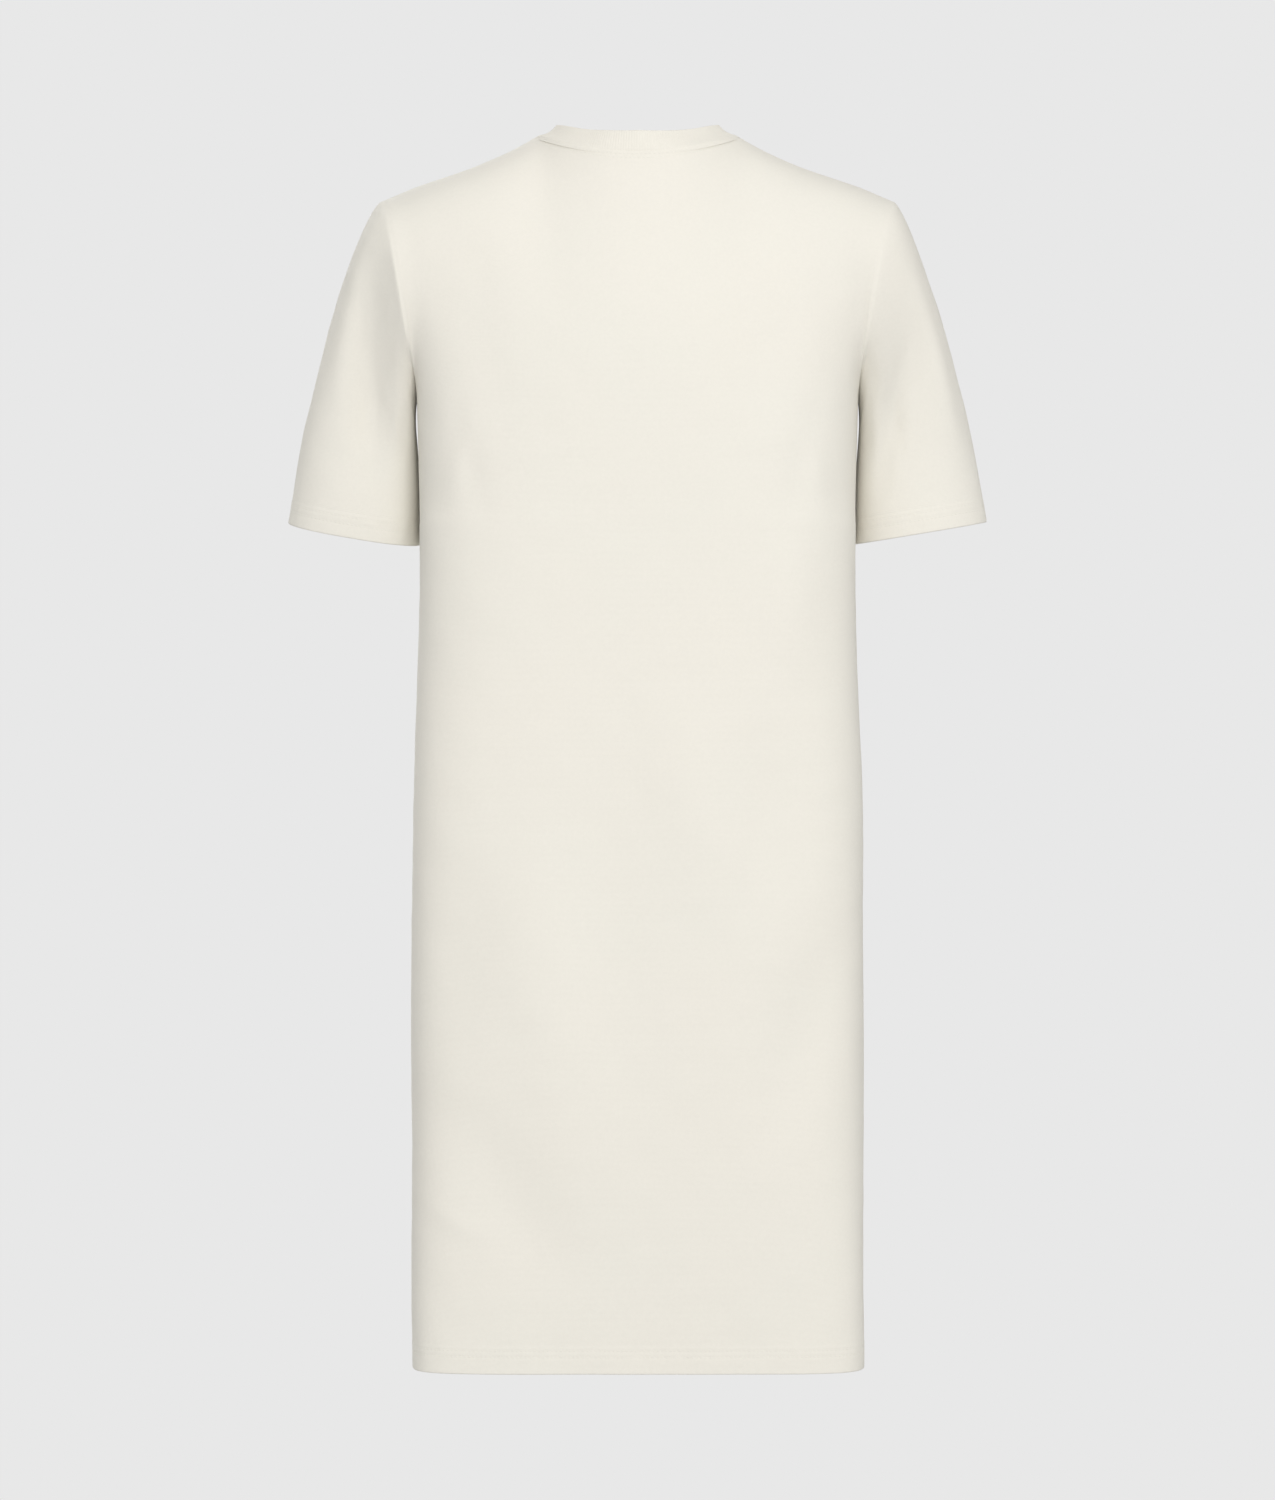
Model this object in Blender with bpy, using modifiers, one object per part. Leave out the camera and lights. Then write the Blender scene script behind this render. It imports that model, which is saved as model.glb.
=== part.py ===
"""A crew-neck t-shirt dress, filled out as it is worn and hollow inside.

Metres, +Z up. The front faces -Y and the wearer's left is +X. The origin is where the dress
is held up: midway between the shoulders, level with the tops of the shoulder seams.
Heights are given as drops below that level. The front and back panels and both sleeves are
thin walls that meet at seams, and the neckband is a ring that stands on the neckline.
"""

import math

import bpy
import numpy as np
from mathutils import Vector

# Driving dimensions
BACK_LENGTH = 0.9585  # from the neckband's seam at the centre back to the hem
NECK_WIDTH = 0.160  # between the tops of the shoulder seams
SHOULDER_WIDTH = 0.406  # between the armhole seams, over the shoulders
SHOULDER_FALL = 0.052  # how far the shoulder seam falls on its way to the armhole
UNDERARM_DROP = 0.215
BAND_HEIGHT = 0.018
WALL = 0.0016
TURNED_WALL = 0.0026  # where a hem is turned up inside
BAND_WALL = 0.0024
HEM_BAND = 0.020
CUFF_BAND = 0.017
SEAM_GAP = 0.0003  # between the front and the back
RING_GAP = 0.0004  # between a panel and the sleeve or neckband sewn to it

# Worked out from them
NECK_HALF = NECK_WIDTH / 2
SHOULDER_HALF = SHOULDER_WIDTH / 2
BACK_NECK_DROP = 0.0205
FRONT_NECK_DROP = 0.085
HEM_DROP = BACK_NECK_DROP + BACK_LENGTH
QUARTER_GIRTH = 0.24
CHEST_LENGTH = 0.22  # along the cloth, from the underarm's level to the shoulder seam
SEAM_STRIP = 0.002  # the width of the narrow strip of a panel that runs beside each seam
SLEEVE_STRIP = 0.003
TURN_STEP = 0.002  # the height over which a turned hem's second layer ends

BACK, FRONT = 1, -1
LEFT, RIGHT = 1, -1

# Half of the body's outline at each height
BODY = (
    # drop, half_width, back_depth, front_depth, back_squareness, front_squareness
    (UNDERARM_DROP, 0.1765, 0.0935, 0.1125, 3.3, 3.0),
    (0.270, 0.1750, 0.0938, 0.1160, 3.3, 2.9),
    (0.345, 0.1738, 0.0930, 0.1155, 3.3, 2.9),
    (0.430, 0.1755, 0.0915, 0.1110, 3.4, 3.0),
    (0.520, 0.1785, 0.0915, 0.1070, 3.6, 3.1),
    (0.640, 0.1798, 0.0935, 0.1045, 3.8, 3.3),
    (0.800, 0.1798, 0.0930, 0.1035, 4.2, 3.6),
    (HEM_DROP, 0.1780, 0.0910, 0.1020, 6.5, 4.2),
)
WIDTH, SQUARENESS = 1, {BACK: 4, FRONT: 5}
DEPTH = {BACK: 2, FRONT: 3}

# The neckline in plan is half an oval on each side, and it falls to the centre
NECK_DEPTH = {BACK: 0.066, FRONT: 0.088}
NECK_FALL = {BACK: BACK_NECK_DROP, FRONT: FRONT_NECK_DROP}
NECK_FALL_POWER = {BACK: 1.6, FRONT: 1.5}
NECK_SHARE = 0.46  # the share of a half panel's width that ends at the neckline
SHOULDER_LINE = (
    # share of the seam from the neck, how far it lies below a straight line
    (0.0, 0.0000),
    (0.2, 0.0034),
    (0.4, 0.0038),
    (0.6, 0.0018),
    (0.8, -0.0004),
    (1.0, 0.0000),
)

# How each column of cloth leaves the underarm's level and arrives at its top edge
BACK_COLUMNS = (
    # share, leave_x, leave_y, leave_z, arrive_x, arrive_y, arrive_z
    (0.00, 0.000, 0.002, 0.085, 0.000, 0.014, -0.062),
    (0.23, 0.000, 0.002, 0.085, 0.000, 0.026, -0.050),
    (0.36, 0.000, 0.002, 0.085, 0.000, 0.040, -0.030),
    (NECK_SHARE, 0.000, 0.002, 0.086, 0.002, 0.072, -0.001),
    (0.56, 0.000, 0.003, 0.088, 0.001, 0.080, -0.001),
    (0.72, 0.000, 0.006, 0.090, 0.000, 0.084, -0.001),
    (0.88, 0.000, 0.042, 0.062, -0.002, 0.088, -0.001),
    (0.96, 0.000, 0.066, 0.042, -0.004, 0.090, -0.001),
    (1.00, -0.002, 0.078, 0.034, -0.006, 0.088, -0.002),
)
FRONT_COLUMNS = (
    # share, leave_x, leave_y, leave_z, arrive_x, arrive_y, arrive_z
    (0.00, 0.000, 0.004, 0.050, 0.000, -0.014, -0.034),
    (0.23, 0.000, 0.004, 0.060, 0.000, -0.022, -0.036),
    (0.36, 0.000, 0.004, 0.072, 0.002, -0.040, -0.024),
    (NECK_SHARE, 0.000, 0.003, 0.082, 0.002, -0.052, -0.001),
    (0.56, 0.000, 0.002, 0.084, 0.001, -0.058, -0.001),
    (0.72, 0.000, 0.000, 0.085, 0.000, -0.062, -0.001),
    (0.88, 0.000, -0.032, 0.060, -0.004, -0.068, -0.001),
    (0.96, -0.002, -0.054, 0.042, -0.008, -0.070, -0.001),
    (1.00, -0.004, -0.064, 0.034, -0.010, -0.068, -0.002),
)
COLUMNS = {BACK: BACK_COLUMNS, FRONT: FRONT_COLUMNS}

# Soft folds: a ridge, or a trough where its height is negative, along a slanting line
BACK_FOLDS = (
    # across at its top, across at its end, top drop, end drop, half breadth, height
    (-0.030, -0.058, 0.430, 0.640, 0.030, 0.0045),
    (-0.122, -0.124, 0.300, 0.450, 0.022, 0.0035),
    (-0.100, -0.106, 0.460, 0.660, 0.024, -0.0040),
    (-0.160, -0.100, 0.600, 0.830, 0.030, -0.0050),
    (0.032, 0.016, 0.450, 0.800, 0.034, -0.0035),
    (0.085, 0.045, 0.540, 0.900, 0.036, 0.0040),
    (0.125, 0.150, 0.560, 0.760, 0.034, -0.0045),
    (0.150, 0.060, 0.740, 0.930, 0.036, -0.0045),
    (0.150, 0.110, 0.060, 0.260, 0.034, -0.0045),
    (-0.104, -0.098, 0.110, 0.250, 0.022, -0.0030),
    (0.000, 0.000, 0.030, 0.320, 0.060, 0.0030),
)
FRONT_FOLDS = (
    # across at its top, across at its end, top drop, end drop, half breadth, height
    (-0.085, -0.095, 0.300, 0.640, 0.028, 0.0045),
    (0.080, 0.100, 0.310, 0.700, 0.030, 0.0040),
    (0.000, -0.012, 0.330, 0.800, 0.036, -0.0045),
    (-0.140, -0.115, 0.560, 0.900, 0.032, -0.0045),
    (0.145, 0.125, 0.520, 0.860, 0.030, -0.0050),
    (0.045, 0.055, 0.620, 0.930, 0.030, 0.0040),
    (-0.055, -0.060, 0.660, 0.940, 0.026, -0.0030),
    (-0.150, -0.100, 0.130, 0.260, 0.030, -0.0045),
    (0.150, 0.105, 0.130, 0.270, 0.030, -0.0045),
    (0.000, 0.000, 0.130, 0.300, 0.030, -0.0030),
)
FOLDS = {BACK: BACK_FOLDS, FRONT: FRONT_FOLDS}
SIDE_FADE = 0.12  # the share of a panel's width, beside its seams, over which folds die away
TOP_FADE = 0.5  # and the share of its height above the underarm

# Sleeves hang from the armholes. The quarters run from the shoulder by the back to the
# underarm and by the front: which way the cloth leaves the seam, how far that way is felt,
# and how far up the sleeve the cuff's direction is felt.
SLEEVE_QUARTERS = {
    LEFT: (
        # out, back, up, seam reach, cuff reach
        (0.88, -0.06, -0.46, 0.014, 0.136),
        (0.62, -0.73, -0.25, 0.056, 0.070),
        (0.24, 0.00, -0.97, 0.020, 0.040),
        (0.78, -0.30, -0.55, 0.046, 0.070),
    ),
    RIGHT: (
        # out, back, up, seam reach, cuff reach
        (0.84, 0.00, -0.54, 0.012, 0.116),
        (0.84, -0.42, -0.34, 0.050, 0.075),
        (0.24, 0.00, -0.97, 0.020, 0.040),
        (0.70, -0.30, -0.60, 0.046, 0.070),
    ),
}
CUFF_OUT = 0.2280  # the cuff's centre from the body's middle
CUFF_DROP = 0.316
CUFF_BACK = {LEFT: -0.038, RIGHT: -0.030}
CUFF_TILT = math.radians(9.5)  # the sleeve leans out from the upright
CUFF_LEAN = {LEFT: math.radians(8), RIGHT: math.radians(3)}  # and towards the front
CUFF_HALF_WIDTH = 0.0545
CUFF_HALF_DEPTH = {LEFT: 0.0450, RIGHT: 0.0490}
CUFF_SQUARENESS = 2.4
SLEEVE_FOLDS = {
    LEFT: (
        # turn at its top, turn at its end, share down, end share, half breadth, height
        (0.16, 0.20, 0.10, 0.75, 0.045, 0.0030),
        (0.28, 0.27, 0.25, 0.95, 0.040, -0.0035),
        (0.70, 0.76, 0.05, 0.80, 0.050, -0.0035),
    ),
    RIGHT: (
        # turn at its top, turn at its end, share down, end share, half breadth, height
        (0.17, 0.14, 0.15, 0.85, 0.045, 0.0030),
        (0.30, 0.33, 0.20, 0.90, 0.040, -0.0030),
        (0.72, 0.76, 0.05, 0.80, 0.050, -0.0035),
    ),
}

# The neckband leans in over the neck, most at the sides
BAND_SHAPE = (
    # turn from the centre back, share of its height that leans in, share that rises, swell
    (0.00, 0.26, 0.966, 0.0006),
    (0.25, 0.86, 0.510, -0.0020),
    (0.50, 0.55, 0.835, 0.0006),
)

# How finely the walls are divided
NECK_COLUMNS = 9
SHOULDER_COLUMNS = 7
SKIRT_ROWS = 21
CHEST_ROWS = 12
SLEEVE_ROWS = 11
BAND_ROWS = 4
ARC_STEPS = 400
EASED_BELOW = 5  # the rows below the underarm's level that are eased too
EASE_TIMES = 6
EASE = 0.5

CREAM = (0.842, 0.820, 0.752, 1.0)
CREAM_RIB = (0.826, 0.804, 0.736, 1.0)


def clear_scene():
    for thing in list(bpy.data.objects):
        bpy.data.objects.remove(thing, do_unlink=True)


def fabric(name, colour):
    material = bpy.data.materials.new(name)
    material.use_nodes = True
    shader = material.node_tree.nodes["Principled BSDF"]
    shader.inputs["Base Color"].default_value = colour
    shader.inputs["Roughness"].default_value = 0.9
    shader.inputs["Metallic"].default_value = 0.0
    return material


def smooth(share):
    share = np.clip(share, 0.0, 1.0)
    return share * share * (3 - 2 * share)


def read_table(table, column, place):
    """A column's value at a place in the table's first column, on a smooth curve."""
    rows = np.array(table, float)
    places, values = rows[:, 0], rows[:, column]
    slopes = np.gradient(values, places)
    i = np.clip(np.searchsorted(places, place) - 1, 0, len(places) - 2)
    span = places[i + 1] - places[i]
    t = (place - places[i]) / span
    before = (1 + 2 * t) * (1 - t) ** 2 * values[i] + t * (1 - t) ** 2 * span * slopes[i]
    after = t * t * (3 - 2 * t) * values[i + 1] - t * t * (1 - t) * span * slopes[i + 1]
    return before + after


def bezier(start, leave, arrive, end, t):
    return (
        (1 - t) ** 3 * start
        + 3 * (1 - t) ** 2 * t * leave
        + 3 * (1 - t) * t * t * arrive
        + t**3 * end
    )


def quarter_oval(half_width, depth, squareness, shares):
    """Points from the centre line to the side, by their share of the way along."""
    angle = np.linspace(0, math.pi / 2, ARC_STEPS)
    x = half_width * np.sin(angle) ** (2 / squareness)
    y = depth * np.cos(angle) ** (2 / squareness)
    length = np.append(0, np.cumsum(np.hypot(np.diff(x), np.diff(y))))
    at = np.asarray(shares) * length[-1]
    return np.interp(at, length, x), np.interp(at, length, y), length[-1]


def body_section(side, drop, shares):
    width = read_table(BODY, WIDTH, drop)
    depth = read_table(BODY, DEPTH[side], drop)
    squareness = read_table(BODY, SQUARENESS[side], drop)
    x, y, length = quarter_oval(width, depth, squareness, shares)
    return np.stack([x, side * y, np.full(len(x), -drop)], axis=-1), length


def neckline(side, share):
    """A point of the neckline, from the centre (0) to the top of the shoulder seam (1)."""
    angle = share * math.pi / 2
    fall = NECK_FALL[side] * math.cos(angle) ** NECK_FALL_POWER[side]
    y = side * NECK_DEPTH[side] * math.cos(angle)
    return np.array([NECK_HALF * math.sin(angle), y, -fall])


def shoulder_seam(share):
    x = NECK_HALF + (SHOULDER_HALF - NECK_HALF) * share
    sag = read_table(SHOULDER_LINE, 1, share)
    return np.array([x, 0.0, -SHOULDER_FALL * share - sag])


def top_edge(side, share):
    if share <= NECK_SHARE:
        return neckline(side, share / NECK_SHARE)
    return shoulder_seam((share - NECK_SHARE) / (1 - NECK_SHARE))


def column_point(side, share, chest, climb):
    """A point of a half panel's column, from the underarm's level (0) to its top edge (1)."""
    handles = [read_table(COLUMNS[side], k, share) for k in range(1, 7)]
    top = top_edge(side, share)
    return bezier(chest, chest + handles[:3], top + handles[3:], top, climb)


def column_shares():
    """Where the columns of a half panel lie, from its centre to its side seam."""
    neck = np.linspace(0, NECK_SHARE, NECK_COLUMNS + 1)
    shoulder = np.linspace(NECK_SHARE, 1, SHOULDER_COLUMNS + 1)[1:]
    strip = 1 - SEAM_STRIP / QUARTER_GIRTH
    return np.concatenate([neck, shoulder[:-1], [strip, 1.0]])


def climb_shares():
    """Where the rows lie above the underarm's level, with a strip below the top edge."""
    rows = np.linspace(0, 1, CHEST_ROWS + 1)[1:]
    strip = 1 - SEAM_STRIP / CHEST_LENGTH
    return np.concatenate([rows[:-1], [strip, 1.0]])


def skirt_drops():
    """Where the rows lie from the hem up to the underarm's level."""
    turned = HEM_DROP - HEM_BAND
    rows = np.linspace(turned - TURN_STEP, UNDERARM_DROP, SKIRT_ROWS)
    return np.concatenate([[HEM_DROP, turned], rows])


def fold_height(folds, across, along):
    """How far the cloth stands out at a place, from all the folds in a table."""
    height = np.zeros_like(across)
    for start, end, top, bottom, breadth, rise in folds:
        share = (along - top) / (bottom - top)
        inside = (share > 0) & (share < 1)
        middle = start + (end - start) * share
        swell = np.sin(math.pi * np.clip(share, 0, 1)) ** 1.5
        height += inside * rise * swell * np.exp(-(((across - middle) / breadth) ** 2))
    return height


def outward(grid, closed):
    """Unit normals of a grid of points, on the side that the rows and columns face."""
    down = np.gradient(grid, axis=0)
    if closed:
        wide = (np.roll(grid, -1, axis=1) - np.roll(grid, 1, axis=1)) / 2
    else:
        wide = np.gradient(grid, axis=1)
    normal = np.cross(wide, down)
    return normal / np.linalg.norm(normal, axis=-1, keepdims=True)


def panel_grid(side):
    """The outer points of the front or back panel, rows from the hem to the top edge."""
    shares = column_shares()
    half, lengths = [], []
    for drop in skirt_drops():
        row, length = body_section(side, drop, shares)
        half.append(row)
        lengths.append(length)
    chest = half[-1]
    for climb in climb_shares():
        row = [column_point(side, c, chest[i], climb) for i, c in enumerate(shares)]
        half.append(np.array(row))
        lengths.append(lengths[-1])
    half = np.array(half)
    half[:, :, 1] += side * SEAM_GAP / 2
    mirrored = half[:, :0:-1] * np.array([-1, 1, 1])
    grid = np.concatenate([mirrored, half], axis=1)
    if side == BACK:
        grid = grid[:, ::-1]
    return grid, shares, np.array(lengths)


def eased(grid):
    """Ease the points round the chest and shoulders, leaving the strips beside the seams."""
    grid = grid.copy()
    low = SKIRT_ROWS - EASED_BELOW
    for _ in range(EASE_TIMES):
        around = grid[low - 1 : -3, 2:-2] + grid[low + 1 : -1, 2:-2]
        around = around + grid[low:-2, 1:-3] + grid[low:-2, 3:-1]
        grid[low:-2, 2:-2] += (around / 4 - grid[low:-2, 2:-2]) * EASE
    return grid


def add_folds(side, grid, shares, lengths):
    """Move the points of a panel out or in by its folds, which die away at the seams."""
    signed = np.concatenate([-shares[:0:-1], shares])
    if side == BACK:
        signed = signed[::-1]
    across = signed[None, :] * lengths[:, None]
    along = -grid[:, :, 2]
    height = fold_height(FOLDS[side], across, along)
    rows, skirt = len(grid), len(skirt_drops())
    to_side = smooth((1 - np.abs(signed)) / SIDE_FADE)
    to_top = smooth((rows - 1 - np.arange(rows)) / (rows - skirt) / TOP_FADE)
    height *= to_side[None, :] * to_top[:, None]
    return grid + outward(grid, False) * height[:, :, None]


def sleeve_turns():
    """The turn of each point round the armhole, from the shoulder by the back (0 to 1)."""
    climbs = np.concatenate([[0.0], climb_shares()])
    back = [(BACK, c, (1 - c) / 2) for c in climbs[::-1]]
    front = [(FRONT, c, (1 + c) / 2) for c in climbs[1:-1]]
    return back + front


def armhole_point(side, share, climb):
    chest = body_section(side, UNDERARM_DROP, [share])[0][0]
    return column_point(side, share, chest, climb)


def way_out(side, climb):
    """The way a panel's cloth points where it reaches the armhole, square to the seam."""
    step = 0.02
    edge = armhole_point(side, 1.0, climb)
    along = armhole_point(side, 1.0, min(climb + step, 1.0))
    along = along - armhole_point(side, 1.0, max(climb - step, 0.0))
    along /= np.linalg.norm(along)
    way = edge - armhole_point(side, 1.0 - step, climb)
    way -= along * (way @ along)
    way /= np.linalg.norm(way)
    if climb in (0.0, 1.0):
        way[1] = 0.0
        way /= np.linalg.norm(way)
    return edge, way


def quarter_value(quarters, column, turn):
    """A value of the sleeve's table at a turn, eased from one quarter to the next."""
    place = turn * 4
    before = int(place) % 4
    ease = smooth(place - int(place))
    return quarters[before][column] * (1 - ease) + quarters[(before + 1) % 4][column] * ease


def cuff_frame(hand):
    """The cuff's centre, its directions outwards and backwards, and the way up the sleeve."""
    up = np.array([-math.sin(CUFF_TILT), math.sin(CUFF_LEAN[hand]), math.cos(CUFF_TILT)])
    up /= np.linalg.norm(up)
    out = np.cross(np.array([0.0, 1.0, 0.0]), up)
    out /= np.linalg.norm(out)
    back = np.cross(up, out)
    return np.array([CUFF_OUT, CUFF_BACK[hand], -CUFF_DROP]), out, back, up


def squared(value):
    """A sine or cosine for an oval that is a little squarer than an ellipse."""
    return math.copysign(abs(value) ** (2 / CUFF_SQUARENESS), value)


def sleeve_grid(hand):
    """The outer points of a sleeve on the +X side, rows from the armhole to the cuff."""
    centre, out, back, up = cuff_frame(hand)
    upright = np.array([0.0, up[1], 1.0])
    shares = np.linspace(0, 1, SLEEVE_ROWS + 1)
    columns = []
    for side, climb, turn in sleeve_turns():
        seam, way = way_out(side, climb)
        values = [quarter_value(SLEEVE_QUARTERS[hand], k, turn) for k in range(5)]
        leave = np.array(values[:3]) / np.linalg.norm(values[:3])
        under = quarter_value(((0,), (0,), (1,), (0,)), 0, turn)
        rise = up * (1 - under) + upright * under
        start = seam + way * RING_GAP
        strip = start + way * SLEEVE_STRIP
        angle = turn * 2 * math.pi
        edge = centre + out * CUFF_HALF_WIDTH * squared(math.cos(angle))
        edge = edge + back * CUFF_HALF_DEPTH[hand] * squared(math.sin(angle))
        band = edge + rise * CUFF_BAND
        tube = [
            bezier(strip, strip + leave * values[3], band + rise * values[4], band, t)
            for t in shares
        ]
        tube.insert(-1, tube[-1] + rise * TURN_STEP)
        columns.append([start] + tube + [edge])
    return np.array(columns).transpose(1, 0, 2)


def add_sleeve_folds(hand, grid):
    turns = np.array([turn for _, _, turn in sleeve_turns()])
    across = np.broadcast_to(turns[None, :], grid.shape[:2])
    steps = np.linalg.norm(np.diff(grid, axis=0), axis=-1)
    along = np.concatenate([np.zeros((1, grid.shape[1])), np.cumsum(steps, axis=0)])
    along /= along[-1]
    height = fold_height(SLEEVE_FOLDS[hand], across, along)
    return grid + outward(grid[::-1], True)[::-1] * height[:, :, None]


def band_grid():
    """The outer points of the neckband, rows from its seam to its top edge."""
    edge = np.linspace(0, 1, NECK_COLUMNS + 1)
    quarters = (
        [(BACK, s, 1, s / 4) for s in edge]
        + [(FRONT, s, 1, 0.5 - s / 4) for s in edge[-2::-1]]
        + [(FRONT, s, -1, 0.5 + s / 4) for s in edge[1:]]
        + [(BACK, s, -1, 1 - s / 4) for s in edge[-2:0:-1]]
    )
    columns = []
    for side, share, hand, turn in quarters:
        seam = neckline(side, share)
        mirror = np.array([hand, 1, 1])
        from_back = min(turn, 1 - turn)
        lean, rise, swell = [read_table(BAND_SHAPE, k, from_back) for k in (1, 2, 3)]
        inwards = -np.array([seam[0], seam[1], 0]) / math.hypot(seam[0], seam[1])
        way = inwards * lean + np.array([0, 0, rise])
        way /= np.linalg.norm(way)
        face = np.cross(way, np.cross(inwards, way))
        face = -face / np.linalg.norm(face)
        heights = np.linspace(0, 1, BAND_ROWS)
        column = []
        for height in heights:
            point = seam + way * (RING_GAP + BAND_HEIGHT * height)
            point = point + face * swell * math.sin(math.pi * height)
            column.append(point * mirror)
        columns.append(column)
    return np.array(columns).transpose(1, 0, 2)


def wall(name, collection, grid, closed, material, thickness, turned_rows=()):
    """A cloth wall behind a grid of outer points, thicker at the rows that are turned."""
    rows, count = grid.shape[:2]
    last = count if closed else count - 1
    faces = []
    for r in range(rows - 1):
        for c in range(last):
            nxt = (c + 1) % count
            here, above = r * count, (r + 1) * count
            faces.append((here + c, here + nxt, above + nxt, above + c))
    mesh = bpy.data.meshes.new(name)
    mesh.from_pydata([Vector(p) for p in grid.reshape(-1, 3)], [], faces)
    mesh.materials.append(material)
    piece = bpy.data.objects.new(name, mesh)
    collection.objects.link(piece)
    group = piece.vertex_groups.new(name="thickness")
    full = TURNED_WALL if turned_rows else thickness
    for r in range(rows):
        weight = 1.0 if r in turned_rows else thickness / full
        group.add(list(range(r * count, (r + 1) * count)), weight, "REPLACE")
    shell = piece.modifiers.new("wall", "SOLIDIFY")
    shell.thickness = full
    shell.offset = -1
    shell.vertex_group = "thickness"
    shell.use_even_offset = False
    piece.modifiers.new("facets", "TRIANGULATE").quad_method = "SHORTEST_DIAGONAL"
    mesh.shade_smooth()
    mesh.set_sharp_from_angle(angle=math.radians(40))
    return piece


def main():
    clear_scene()
    collection = bpy.data.collections.new("tshirt_dress")
    bpy.context.scene.collection.children.link(collection)
    jersey = fabric("jersey", CREAM)
    rib = fabric("rib", CREAM_RIB)

    for name, side in (("back_panel", BACK), ("front_panel", FRONT)):
        grid, shares, lengths = panel_grid(side)
        grid = add_folds(side, eased(grid), shares, lengths)
        wall(name, collection, grid, False, jersey, WALL, turned_rows=(0, 1))

    for name, hand in (("left_sleeve", LEFT), ("right_sleeve", RIGHT)):
        grid = add_sleeve_folds(hand, sleeve_grid(hand))
        if hand == RIGHT:
            grid = grid[:, ::-1] * np.array([-1, 1, 1])
        grid = grid[::-1]
        wall(name, collection, grid, True, jersey, WALL, turned_rows=(0, 1))

    wall("neckband", collection, band_grid(), True, rib, BAND_WALL)


main()
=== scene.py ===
"""The t-shirt dress as it is photographed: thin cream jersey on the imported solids' form.

The form is worked out from the same tables as the solids, on a finer grid, and each piece of
cloth is a thin wall with its seams turned in, its hems turned up and its stitches laid on.
"""

import math

import bpy
import numpy as np
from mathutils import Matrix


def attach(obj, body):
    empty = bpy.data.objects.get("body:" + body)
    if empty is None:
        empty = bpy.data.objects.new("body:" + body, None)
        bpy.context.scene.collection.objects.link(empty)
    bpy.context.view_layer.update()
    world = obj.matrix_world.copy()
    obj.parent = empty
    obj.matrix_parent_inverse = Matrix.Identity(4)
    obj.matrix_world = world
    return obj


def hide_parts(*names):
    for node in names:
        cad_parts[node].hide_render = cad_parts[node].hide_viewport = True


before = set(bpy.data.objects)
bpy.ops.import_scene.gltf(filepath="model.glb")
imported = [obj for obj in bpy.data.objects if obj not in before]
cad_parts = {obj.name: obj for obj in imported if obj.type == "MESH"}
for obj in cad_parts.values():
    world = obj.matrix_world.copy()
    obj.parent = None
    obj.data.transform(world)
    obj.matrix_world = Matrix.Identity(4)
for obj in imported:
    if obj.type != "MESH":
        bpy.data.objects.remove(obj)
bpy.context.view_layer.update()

# Driving dimensions
BACK_LENGTH = 0.9585  # from the neckband's seam at the centre back to the hem
NECK_WIDTH = 0.160  # between the tops of the shoulder seams
SHOULDER_WIDTH = 0.406  # between the armhole seams, over the shoulders
SHOULDER_FALL = 0.052  # how far the shoulder seam falls on its way to the armhole
UNDERARM_DROP = 0.215
BAND_HEIGHT = 0.018
WALL = 0.0016
TURNED_WALL = 0.0026  # where a hem is turned up inside
BAND_WALL = 0.0024
HEM_BAND = 0.020
CUFF_BAND = 0.017
SEAM_GAP = 0.0003  # between the front and the back
RING_GAP = 0.0004  # between a panel and the sleeve or neckband sewn to it

# Worked out from them
NECK_HALF = NECK_WIDTH / 2
SHOULDER_HALF = SHOULDER_WIDTH / 2
BACK_NECK_DROP = 0.0205
FRONT_NECK_DROP = 0.085
HEM_DROP = BACK_NECK_DROP + BACK_LENGTH
QUARTER_GIRTH = 0.24
CHEST_LENGTH = 0.22  # along the cloth, from the underarm's level to the shoulder seam
SEAM_STRIP = 0.002  # the width of the narrow strip of a panel that runs beside each seam
SLEEVE_STRIP = 0.003
TURN_STEP = 0.002  # the height over which a turned hem's second layer ends

BACK, FRONT = 1, -1
LEFT, RIGHT = 1, -1

# Half of the body's outline at each height
BODY = (
    # drop, half_width, back_depth, front_depth, back_squareness, front_squareness
    (UNDERARM_DROP, 0.1765, 0.0935, 0.1125, 3.3, 3.0),
    (0.270, 0.1750, 0.0938, 0.1160, 3.3, 2.9),
    (0.345, 0.1738, 0.0930, 0.1155, 3.3, 2.9),
    (0.430, 0.1755, 0.0915, 0.1110, 3.4, 3.0),
    (0.520, 0.1785, 0.0915, 0.1070, 3.6, 3.1),
    (0.640, 0.1798, 0.0935, 0.1045, 3.8, 3.3),
    (0.800, 0.1798, 0.0930, 0.1035, 4.2, 3.6),
    (HEM_DROP, 0.1780, 0.0910, 0.1020, 6.5, 4.2),
)
WIDTH, SQUARENESS = 1, {BACK: 4, FRONT: 5}
DEPTH = {BACK: 2, FRONT: 3}

# The neckline in plan is half an oval on each side, and it falls to the centre
NECK_DEPTH = {BACK: 0.066, FRONT: 0.088}
NECK_FALL = {BACK: BACK_NECK_DROP, FRONT: FRONT_NECK_DROP}
NECK_FALL_POWER = {BACK: 1.6, FRONT: 1.5}
NECK_SHARE = 0.46  # the share of a half panel's width that ends at the neckline
SHOULDER_LINE = (
    # share of the seam from the neck, how far it lies below a straight line
    (0.0, 0.0000),
    (0.2, 0.0034),
    (0.4, 0.0038),
    (0.6, 0.0018),
    (0.8, -0.0004),
    (1.0, 0.0000),
)

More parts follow.
